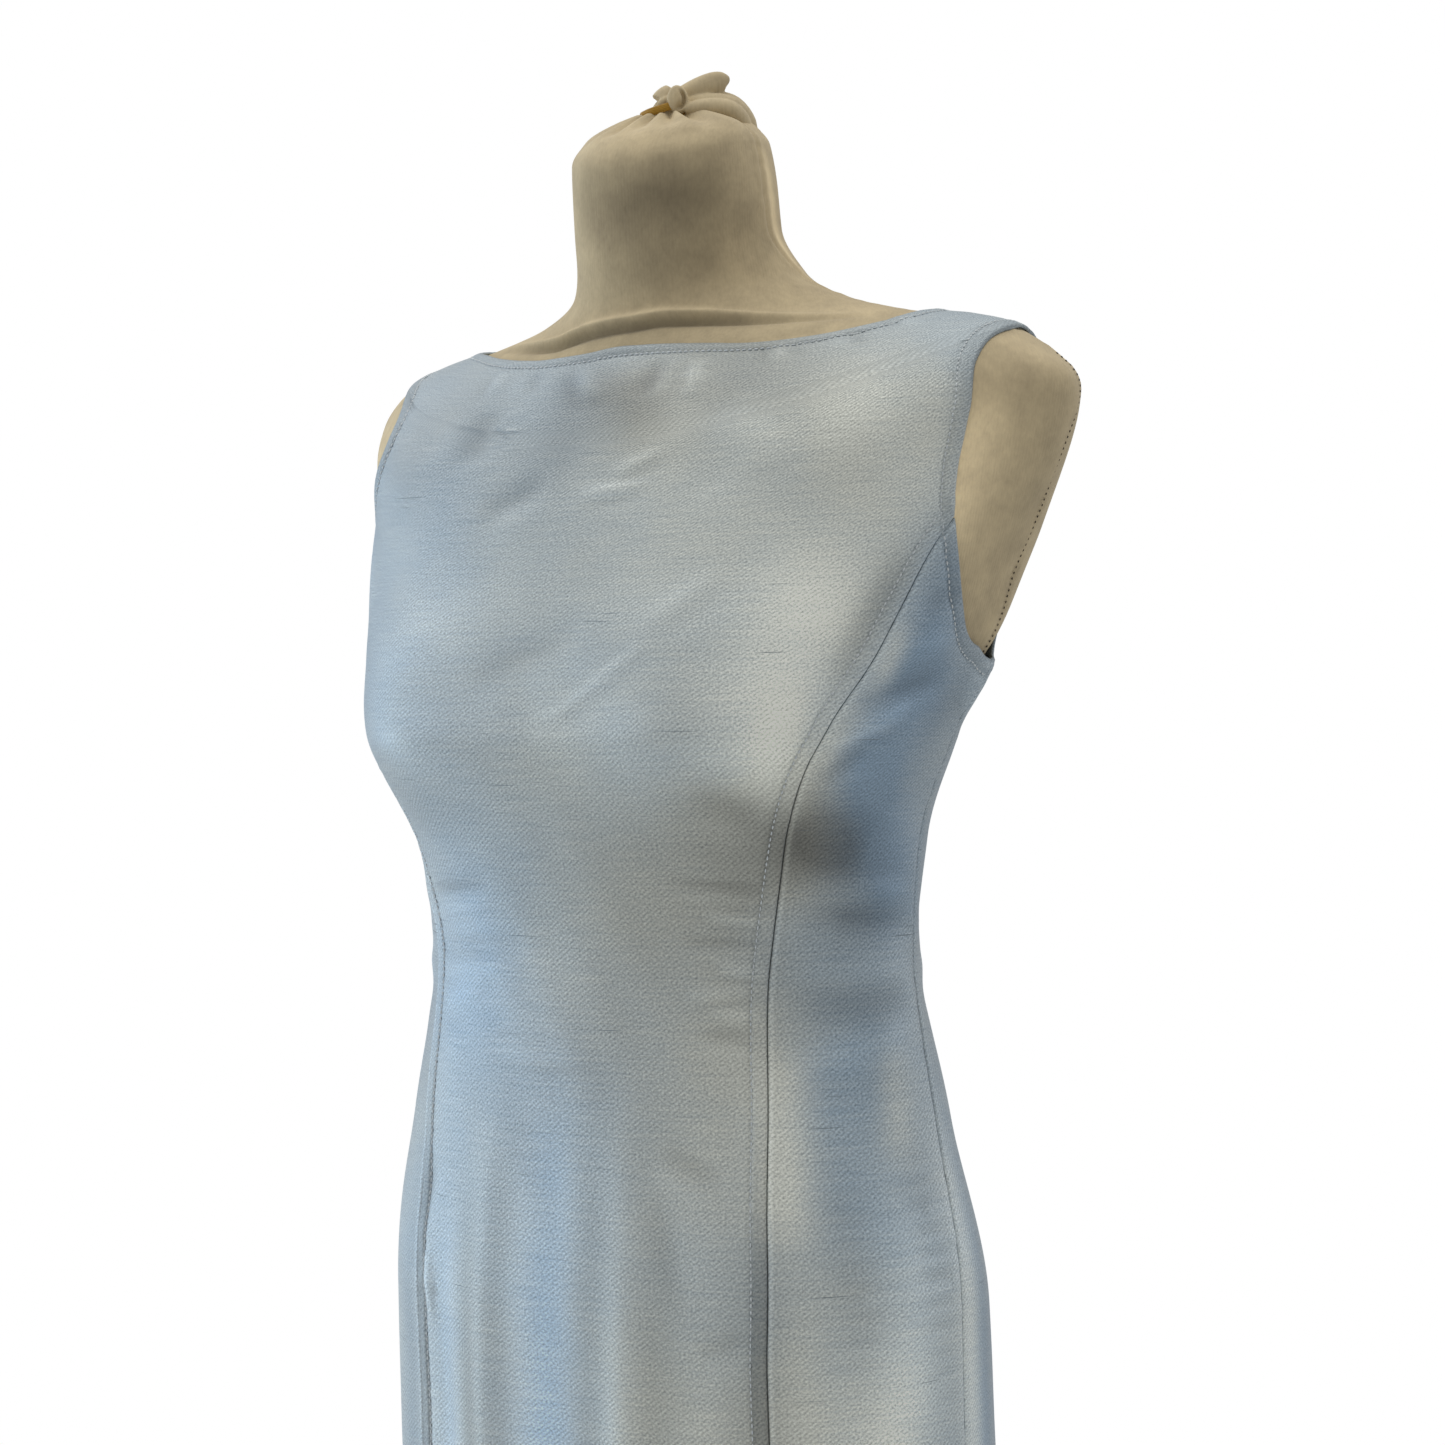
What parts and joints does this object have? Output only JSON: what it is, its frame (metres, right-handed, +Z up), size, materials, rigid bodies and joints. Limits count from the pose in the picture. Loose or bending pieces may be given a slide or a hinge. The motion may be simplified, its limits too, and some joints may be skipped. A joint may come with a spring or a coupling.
{
  "type": "shift dress on a limbless dress form",
  "caption": "Sleeveless knee-length shift dress with a boat neckline, princess seams and a back zip, worn by a jersey-covered dress form on a round stand.",
  "frame": {"origin": "middle of the underside of the stand's round base", "axes": "+Z up, the dress's front towards -Y, the wearer's left towards +X"},
  "size_m": [0.447, 0.36, 1.478],
  "materials": {
    "dress_cloth": "satin",
    "form_jersey": "matte",
    "elastic": "matte",
    "zip_metal": "satin",
    "stand_steel": "satin"
  },
  "bodies": {
    "dress_on_form": {"front_centre_panel": "dress_cloth", "side_front_left": "dress_cloth", "side_front_right": "dress_cloth", "back_left": "dress_cloth", "back_right": "dress_cloth", "form_torso": "form_jersey", "neck_gather": "form_jersey", "neck_band": "elastic", "stand_base": "stand_steel", "stand_collar": "stand_steel", "stand_flange": "stand_steel", "stand_pole": "stand_steel", "zip_slider": "zip_metal"},
    "zip_pull_tab": {"zip_pull": "zip_metal"}
  },
  "joints": [
    {"name": "zip_pull_hinge", "type": "hinge", "parent": "dress_on_form", "child": "zip_pull_tab", "pos_m": [0, 0.10987, 1.3162], "axis": [1, 0, 0], "range_deg": [0, 175]}
  ]
}
